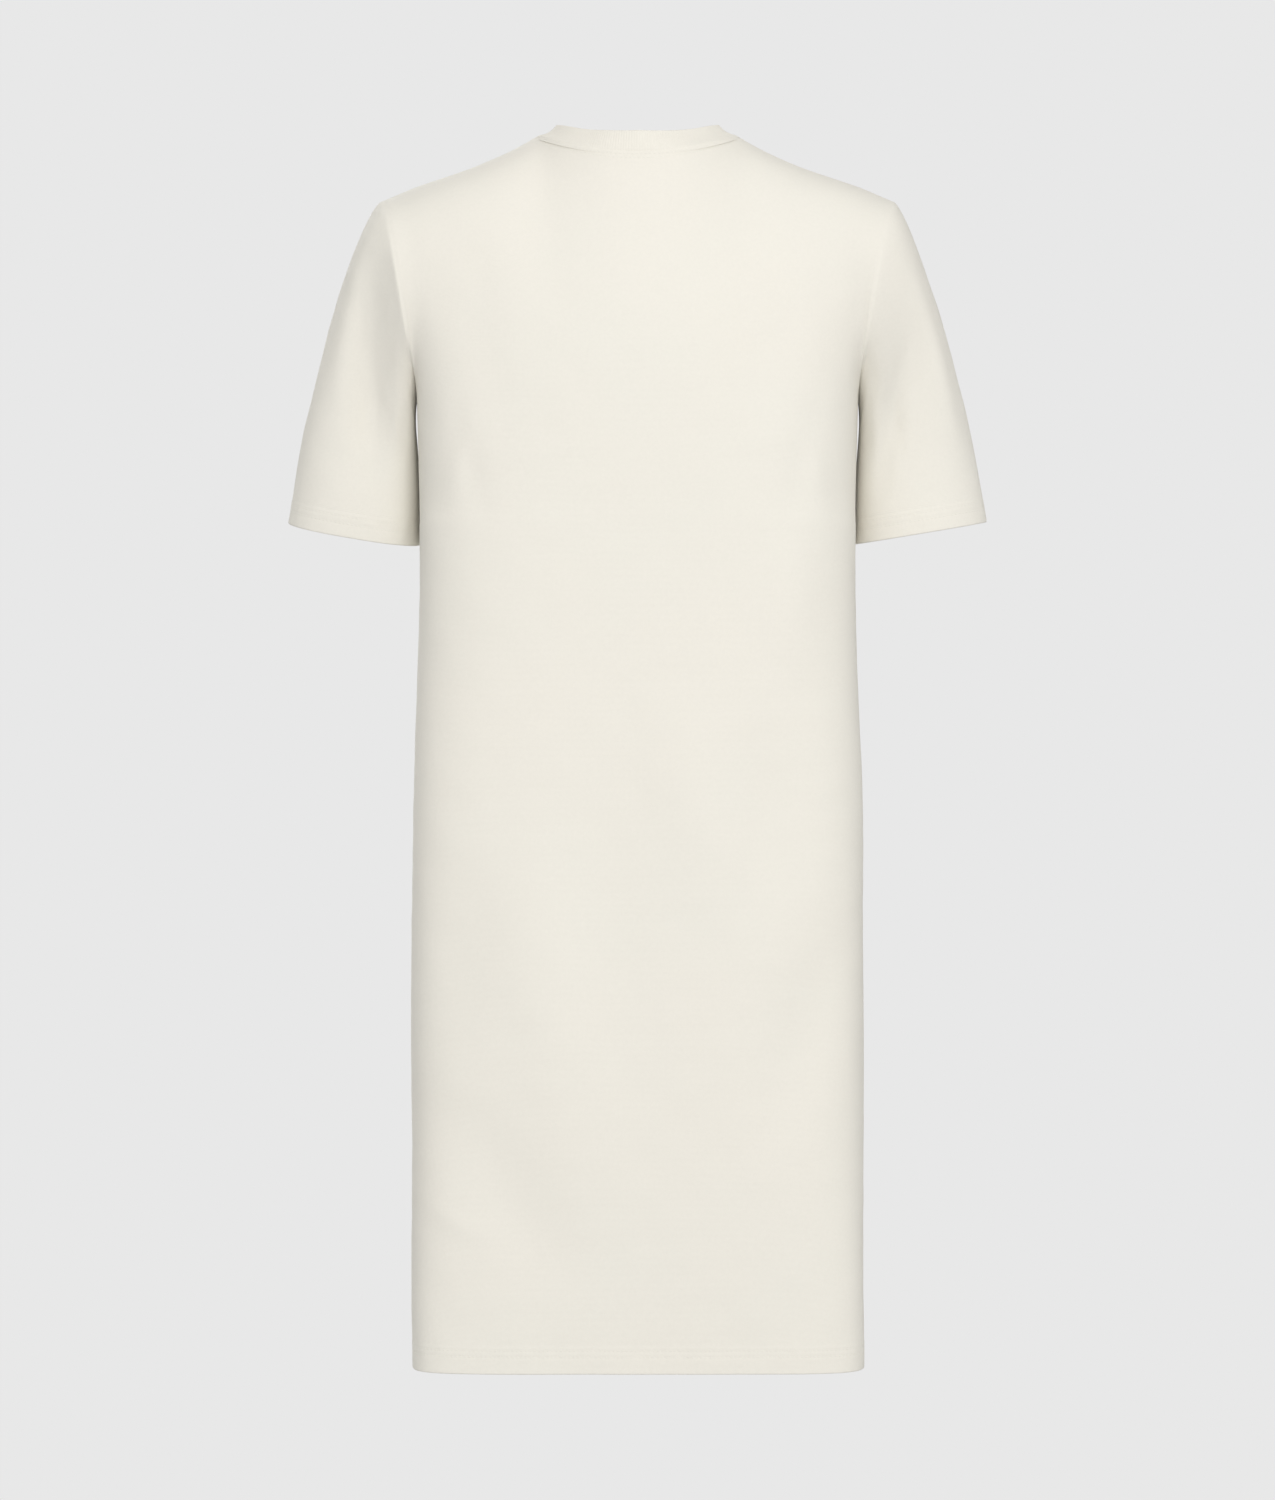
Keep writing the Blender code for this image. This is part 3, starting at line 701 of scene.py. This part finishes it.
def dress_sleeve(hand):
    face, up, turns = sleeve_surface(hand)
    top = up[-1:]
    down = 1 - up / top
    turn = np.broadcast_to((turns % 1)[None, :], up.shape)
    height = fold_height(SLEEVE_FOLDS[hand], turn, down)
    height += fold_height(FINE_SLEEVE_FOLDS[hand], turn, down)
    girth = np.linalg.norm(np.diff(face, axis=1), axis=-1)
    across = np.concatenate([np.zeros((len(face), 1)), np.cumsum(girth, axis=1)], axis=1)
    total = across[:, -1:]
    from_side = np.minimum(across, total - across)
    edge = np.minimum(from_side, top - up)
    height += 0.0003 * ripple(across, up, 0.09, 21 + hand) * smooth(edge / 0.025)
    height += 0.0001 * ripple(across, up, 0.03, 25 + hand) * smooth(edge / 0.012)
    height += hem_relief(up, CUFF_STITCHES, across, 31 + hand) * smooth(from_side / 0.012)
    height -= 0.0003 * np.exp(-((edge / SEAM_ROLL) ** 2))
    return face + outward(face, False) * height[:, :, None], up


def stitch_row(points, normals):
    """Short raised threads along a line on the cloth: their points and faces."""
    place = np.append(0, np.cumsum(np.linalg.norm(np.diff(points, axis=0), axis=-1)))
    count = int(place[-1] / STITCH_PITCH)
    starts = (np.arange(count) + 0.5) * place[-1] / count
    sides, rings = 6, ((-0.5, -0.9, 0.5), (-0.3, 0.25, 0.95), (0, 0.5, 1), (0.3, 0.25, 0.95), (0.5, -0.9, 0.5))
    shape = []
    for share, rise, size in rings:
        at = starts + share * STITCH_LENGTH
        centre = np.stack([np.interp(at, place, points[:, k]) for k in range(3)], -1)
        ahead = np.stack([np.interp(at + 0.0005, place, points[:, k]) for k in range(3)], -1)
        normal = unit(np.stack([np.interp(at, place, normals[:, k]) for k in range(3)], -1))
        wide = unit(np.cross(normal, ahead - centre))
        for k in range(sides):
            angle = 2 * math.pi * k / sides
            shape.append(
                centre
                + normal * THREAD * (rise + size * math.sin(angle))
                + wide * THREAD * size * math.cos(angle) * 1.3
            )
    points = np.array(shape).transpose(1, 0, 2)
    quads = []
    for ring in range(len(rings) - 1):
        for k in range(sides):
            a, b = ring * sides + k, ring * sides + (k + 1) % sides
            quads.append((a, b, b + sides, a + sides))
    for first in (0, (len(rings) - 1) * sides):
        a = [first + k for k in range(sides)]
        ends = [(a[0], a[3], a[2], a[1]), (a[0], a[5], a[4], a[3])]
        quads += ends if first == 0 else [end[::-1] for end in ends]
    quads = np.array(quads)[None] + (np.arange(count) * len(shape))[:, None, None]
    return points.reshape(-1, 3), quads.reshape(-1, 4)


def stitches(name, lines, material):
    points, quads, shift = [], [], 0
    for line, normals in lines:
        p, q = stitch_row(line, normals)
        points.append(p)
        quads.append(q + shift)
        shift += len(p)
    points = np.concatenate(points)
    quads = np.concatenate(quads)
    return mesh_piece(name, points, quads, material, points[quads][..., :2])


def line_at(face, heights, wanted):
    """A line across a face, where each column reaches a height, and the normals there."""
    normals = outward(face, False)
    line, facing = [], []
    for c in range(face.shape[1]):
        places = np.interp([wanted], heights[:, c], np.arange(len(face)))
        line.append(between(face[:, c], places)[0])
        facing.append(between(normals[:, c], places)[0])
    return np.array(line), unit(np.array(facing))


def from_top(face):
    """How far each point lies below the top edge, along its column, with rows turned over."""
    steps = np.linalg.norm(np.diff(face[::-1], axis=0), axis=-1)
    return np.concatenate([np.zeros((1, face.shape[1])), np.cumsum(steps, axis=0)])


def band_section():
    """The neckband's section: how far up it and how far inwards each point of a loop lies."""
    thick, high = BAND_WALL, BAND_HEIGHT
    loop = [(-0.0030, 0.55 * thick), (-0.0012, 0.42 * thick), (-0.0001, 0.24 * thick)]
    loop += [(0.0006, 0.08 * thick), (0.0016, 0.0)]
    loop += [(h, 0.0) for h in np.linspace(0.003, high - 0.0022, 8)]
    for turn in np.linspace(0, math.pi, 9):
        loop.append(
            (high - thick / 2 + thick / 2 * math.sin(turn), thick / 2 * (1 - math.cos(turn)))
        )
    loop += [(h, thick) for h in np.linspace(high - 0.0022, 0.0012, 6)]
    loop += [(0.0, 0.92 * thick), (-0.0016, 0.82 * thick), (-0.0028, 0.72 * thick)]
    return loop


def band_surface():
    """The neckband as a closed ring: rows round its section by columns round the neck."""
    count = RIBS * RIB_STEPS
    turns = np.arange(count) / count
    sharp = 1e-4
    frames = []
    for turn in turns:
        from_back = min(turn, 1 - turn)
        hand = 1 if turn < 0.5 else -1
        side, share = (BACK, from_back * 4) if from_back < 0.25 else (FRONT, 2 - from_back * 4)
        seam = neckline(side, share)
        lean, rise, swell = [read_table(BAND_SHAPE, k, from_back) for k in (1, 2, 3)]
        inwards = -unit(np.array([seam[0], seam[1], 0.0]) + sharp * 1e-3)
        way = unit(inwards * lean + np.array([0, 0, rise]))
        face = -unit(np.cross(way, np.cross(inwards, way)))
        mirror = np.array([hand, 1, 1])
        frames.append((seam * mirror, way * mirror, face * mirror, swell))
    seam, way, face = [np.array([f[k] for f in frames]) for k in range(3)]
    swell = np.array([f[3] for f in frames])
    around = np.append(0, np.cumsum(np.linalg.norm(np.diff(seam, axis=0), axis=-1)))
    girth = around[-1] + np.linalg.norm(seam[0] - seam[-1])
    from_join = smooth(np.minimum(around, girth - around) / WAVE_FADE)
    rib = np.cos(2 * math.pi * np.arange(count) / RIB_STEPS)
    rows, flat = [], []
    v = 0.0
    before = None
    for up, depth in band_section():
        bulge = swell * math.sin(math.pi * np.clip(up / BAND_HEIGHT, 0, 1))
        shown = smooth((up + 0.0004) / 0.0015)
        wave = 0.0003 * ripple(around, up, 0.06, 41) * smooth(up / 0.006) * from_join
        out = bulge - depth + rib * RIB_RISE * shown * (1 - 2 * depth / BAND_WALL) + wave
        rows.append(seam + way * up + face * out[:, None])
        v += 0 if before is None else math.hypot(up - before[0], depth - before[1])
        before = (up, depth)
        flat.append(np.stack([around, np.full(count, v)], -1))
    return np.array(rows), np.concatenate(flat), girth


def ring(name, rows, flat, girth, material):
    """A closed ring from its sections, joined round the neck and round the section."""
    count = rows.shape[1]
    r, c = np.meshgrid(np.arange(len(rows)), np.arange(count), indexing="ij")
    n, up = (c + 1) % count, (r + 1) % len(rows)
    quads = np.stack([r * count + c, r * count + n, up * count + n, up * count + c], -1)
    quads = quads.reshape(-1, 4)
    places = flat[quads]
    places[c.ravel() == count - 1, 1:3, 0] += girth  # the last column's far side is a turn on
    return mesh_piece(name, rows.reshape(-1, 3), quads, material, places)


def nodes_of(material):
    material.use_nodes = True
    tree = material.node_tree
    return tree, tree.nodes["Principled BSDF"]


def node(tree, kind, inputs=(), **settings):
    """A node with its settings, and its inputs set to values or joined to other nodes."""
    new = tree.nodes.new(kind)
    for name, value in settings.items():
        setattr(new, name, value)
    for socket, value in inputs:
        if isinstance(value, bpy.types.NodeSocket):
            tree.links.new(value, new.inputs[socket])
        else:
            new.inputs[socket].default_value = value
    return new


def knit_height(tree, wale, course, slant):
    """The relief of a plain knit: columns of small slanting loops, from the cloth's own places."""
    places = node(tree, "ShaderNodeUVMap", uv_map="cloth").outputs["UV"]
    split = node(tree, "ShaderNodeSeparateXYZ", [(0, places)])
    def maths(operation, *values):
        inputs = list(enumerate(values))
        return node(tree, "ShaderNodeMath", inputs, operation=operation).outputs[0]
    u = maths("DIVIDE", split.outputs["X"], wale)
    v = maths("DIVIDE", split.outputs["Y"], course)
    side = maths("PINGPONG", u, 0.5)
    v = maths("MULTIPLY_ADD", side, slant, v)
    column = maths("SINE", maths("MULTIPLY", side, 2 * math.pi))
    loop = maths("SINE", maths("MULTIPLY", v, 2 * math.pi))
    return maths("MULTIPLY_ADD", loop, 0.35, column)


def cloth(name, colour, wale, course, knit):
    """Cotton jersey or rib: a fine knit, soft unevenness and a slightly uneven colour."""
    material = bpy.data.materials.new(name)
    tree, shader = nodes_of(material)
    where = node(tree, "ShaderNodeTexCoord").outputs["Object"]
    patches = node(tree, "ShaderNodeTexNoise", [("Vector", where), ("Scale", 7.0), ("Detail", 3.0)])
    flecks = node(tree, "ShaderNodeTexNoise", [("Vector", where), ("Scale", 420.0), ("Detail", 2.0)])
    warm = [c * k for c, k in zip(colour, (1.008, 0.996, 0.992))]
    cool = [c * k for c, k in zip(colour, (0.990, 1.000, 0.998))]
    tint = node(tree, "ShaderNodeMix", [(0, patches.outputs[0])], data_type="RGBA")
    tint.inputs["A"].default_value = warm + [1]
    tint.inputs["B"].default_value = cool + [1]
    shade = node(tree, "ShaderNodeMapRange", [("Value", flecks.outputs[0])])
    shade.inputs["To Min"].default_value = 0.975
    shade.inputs["To Max"].default_value = 1.02
    base = node(tree, "ShaderNodeVectorMath", operation="SCALE")
    tree.links.new(tint.outputs["Result"], base.inputs[0])
    tree.links.new(shade.outputs[0], base.inputs["Scale"])
    tree.links.new(base.outputs[0], shader.inputs["Base Color"])
    height = knit_height(tree, wale, course, 0.9)
    fine = node(tree, "ShaderNodeBump", [("Height", height), ("Strength", knit), ("Distance", 0.0002)])
    slub = node(tree, "ShaderNodeTexNoise", [("Vector", where), ("Scale", 190.0), ("Detail", 3.0)])
    rough = node(
        tree,
        "ShaderNodeBump",
        [("Height", slub.outputs[0]), ("Strength", 0.25), ("Distance", 0.0004)],
    )
    tree.links.new(fine.outputs[0], rough.inputs["Normal"])
    tree.links.new(rough.outputs[0], shader.inputs["Normal"])
    shader.inputs["Roughness"].default_value = 0.88
    shader.inputs["Specular IOR Level"].default_value = 0.25
    shader.inputs["Sheen Weight"].default_value = 0.08
    shader.inputs["Sheen Roughness"].default_value = 0.5
    return material


def thread(name, colour):
    """Matt sewing thread, with its twist as fine slanting lines."""
    material = bpy.data.materials.new(name)
    tree, shader = nodes_of(material)
    where = node(tree, "ShaderNodeTexCoord").outputs["Object"]
    twist = node(tree, "ShaderNodeTexWave", [("Vector", where), ("Scale", 900.0)])
    twist.bands_direction = "DIAGONAL"
    bump = node(tree, "ShaderNodeBump", [("Height", twist.outputs["Fac"]), ("Distance", 0.0001)])
    bump.inputs["Strength"].default_value = 0.4
    tree.links.new(bump.outputs[0], shader.inputs["Normal"])
    soft = node(tree, "ShaderNodeTexNoise", [("Vector", where), ("Scale", 60.0)])
    tint = node(tree, "ShaderNodeMix", [(0, soft.outputs[0])], data_type="RGBA")
    tint.inputs["A"].default_value = [c * 0.97 for c in colour] + [1]
    tint.inputs["B"].default_value = list(colour) + [1]
    tree.links.new(tint.outputs["Result"], shader.inputs["Base Color"])
    shader.inputs["Roughness"].default_value = 0.6
    return material


def even_light(name, colour, strength):
    """A surface that shows as one even tone, whatever lights it."""
    material = bpy.data.materials.new(name)
    tree, shader = nodes_of(material)
    shader.inputs["Base Color"].default_value = (0, 0, 0, 1)
    shader.inputs["Specular IOR Level"].default_value = 0
    shader.inputs["Emission Color"].default_value = colour
    shader.inputs["Emission Strength"].default_value = strength
    return material


def backdrop(material):
    """A pale floor well below the dress, and a pale room round both."""
    bpy.ops.mesh.primitive_uv_sphere_add(segments=64, ring_count=32, radius=14)
    room = bpy.context.object
    room.name = "backdrop"
    bpy.ops.mesh.primitive_plane_add(size=20, location=(0, 0, -2.2))
    floor = bpy.context.object
    floor.name = "floor"
    for thing in (room, floor):
        thing.data.materials.clear()
        thing.data.materials.append(material)
        thing.visible_diffuse = thing.visible_glossy = False
        thing.visible_shadow = thing.visible_transmission = False
    room.data.shade_smooth()


def soft_light(name, place, aim, size, power, colour):
    light = bpy.data.lights.new(name, "AREA")
    light.shape = "RECTANGLE"
    light.size, light.size_y = size
    light.energy = power
    light.color = colour
    lamp = bpy.data.objects.new(name, light)
    bpy.context.scene.collection.objects.link(lamp)
    lamp.location = place
    way = np.array(aim) - np.array(place)
    lamp.rotation_euler = (
        math.acos(-way[2] / np.linalg.norm(way)),
        0,
        math.atan2(way[1], way[0]) - math.pi / 2,
    )
    return lamp


def neck_line(face, below):
    """A line that follows the neckline on a panel, a little below the neckband."""
    half = face.shape[1] // 2
    reach = NECK_STEPS + 2
    part = face[:, half - reach : half + reach + 1][::-1]
    line, facing = line_at(part, from_top(part[::-1]), below)
    return line, -facing


def photographed():
    """The camera, from behind the dress and level with its middle, and the studio's light."""
    scene = bpy.context.scene
    camera = bpy.data.cameras.new("camera")
    camera.sensor_fit = "VERTICAL"
    camera.sensor_height = 24
    camera.lens = 4497 / 1500 * 24
    stand = bpy.data.objects.new("camera", camera)
    scene.collection.objects.link(stand)
    stand.location = (0, 3.6, -0.4915)
    stand.rotation_euler = (math.pi / 2, 0, math.pi)
    scene.camera = stand
    world = bpy.data.worlds.new("studio")
    world.use_nodes = True
    sky = world.node_tree.nodes["Background"]
    sky.inputs["Color"].default_value = (1.0, 0.995, 0.985, 1)
    sky.inputs["Strength"].default_value = WORLD_LIGHT
    scene.world = world
    scene.view_settings.view_transform = "Standard"
    soft_light("key", (-0.6, 4.3, 1.1), (0, 0, -0.4), (2.6, 2.6), KEY_LIGHT, (1.0, 0.985, 0.97))
    soft_light("front", (1.4, -4.0, 1.2), (0, 0, -0.4), (2.6, 2.6), KEY_LIGHT * 0.8, (1, 1, 1))


def main():
    for leftover in ("Cube", "Light", "Camera"):
        if leftover in bpy.data.objects:
            bpy.data.objects.remove(bpy.data.objects[leftover], do_unlink=True)
    jersey = cloth("jersey_knit", (0.842, 0.820, 0.752), 0.0011, 0.0009, 0.5)
    rib = cloth("rib_knit", (0.826, 0.804, 0.736), 0.0009, 0.0008, 0.4)
    sewing = thread("sewing_thread", (0.84, 0.82, 0.755))

    panels, hem_lines, neck_lines = {}, [], []
    for name, node_name, side in (
        ("back_cloth", "back_panel", BACK),
        ("front_cloth", "front_panel", FRONT),
    ):
        face, _, along = dress_panel(side)
        up = HEM_DROP - along
        hem_lines += [line_at(face, up, row) for row in HEM_STITCHES]
        neck_lines += [neck_line(face, row) for row in NECK_STITCHES]
        band = int(np.searchsorted(HEM_HEIGHTS, HEM_BAND)) + 1
        turned, count = turned_up(face, band)
        panels[name] = cloth_wall(name, sewn(turned, count, PANEL_GAP, True), jersey)
        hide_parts(node_name)

    cuff_lines, sleeves = [], {}
    for name, node_name, hand in (
        ("left_sleeve_cloth", "left_sleeve", LEFT),
        ("right_sleeve_cloth", "right_sleeve", RIGHT),
    ):
        face, up = dress_sleeve(hand)
        lines = [line_at(face, up, row) for row in CUFF_STITCHES]
        band = int(np.searchsorted(HEM_HEIGHTS, CUFF_BAND)) + 1
        turned, count = turned_up(face, band)
        grid = sewn(turned, count, PANEL_GAP, True)
        if hand == RIGHT:
            mirror = np.array([-1, 1, 1])
            grid = grid[:, ::-1] * mirror
            lines = [(line[::-1] * mirror, facing[::-1] * mirror) for line, facing in lines]
        cuff_lines += lines
        sleeves[name] = cloth_wall(name, grid, jersey)
        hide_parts(node_name)

    rows, flat, girth = band_surface()
    neckband = ring("neckband_rib", rows, flat, girth, rib)
    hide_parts("neckband")
    hem = stitches("hem_stitches", hem_lines, sewing)
    cuffs = stitches("cuff_stitches", cuff_lines, sewing)
    neck = stitches("neck_stitches", neck_lines, sewing)

    for piece in (*panels.values(), *sleeves.values(), neckband, hem, cuffs, neck):
        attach(piece, "root")

    backdrop(even_light("pale", (0.807, 0.807, 0.807, 1), 1.0))
    photographed()


main()
